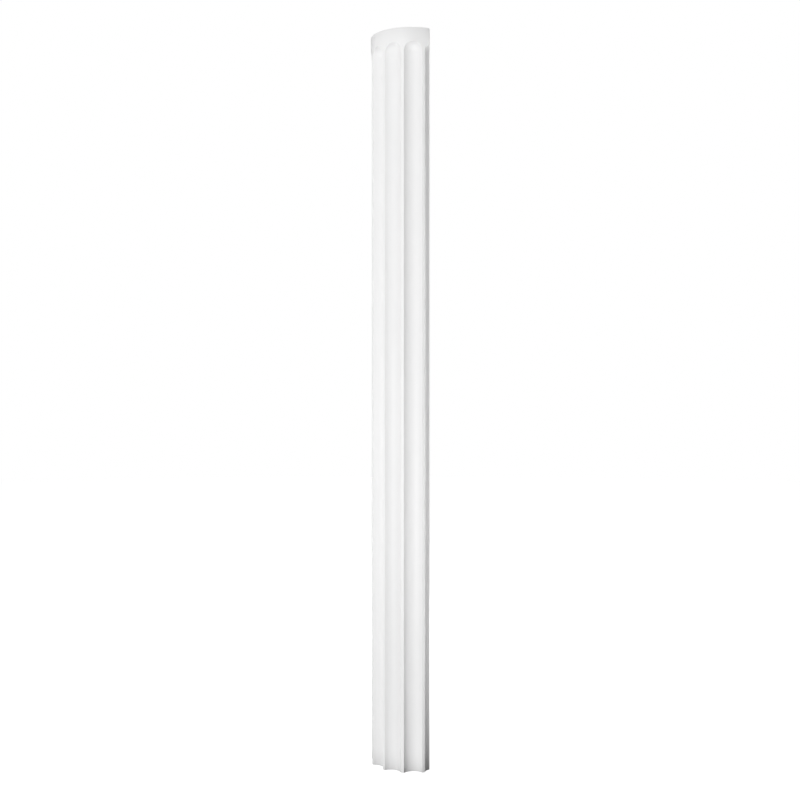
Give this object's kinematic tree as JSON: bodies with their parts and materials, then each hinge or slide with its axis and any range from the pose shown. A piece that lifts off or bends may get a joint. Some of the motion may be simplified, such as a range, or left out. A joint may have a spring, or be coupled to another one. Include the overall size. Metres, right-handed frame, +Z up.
{
  "type": "half column shaft",
  "caption": "Straight fluted half-round column shaft with a plain band at the top and a flat back, for fixing to a wall or pier.",
  "frame": {"origin": "middle of the foot's bounding rectangle, on the floor: half the shaft's depth in front of the flat back, and centred from side to side", "axes": "+Z up along the shaft, -Y out of the fluted front, +Y out of the flat back towards the wall, +X to the right seen from the front"},
  "size_m": [0.2186, 0.11, 2.01],
  "materials": {
    "white_primer": "rigid polyurethane moulding with a smooth white satin primer"
  },
  "bodies": {
    "root": {"half_column_shaft": "white_primer"}
  },
  "joints": []
}
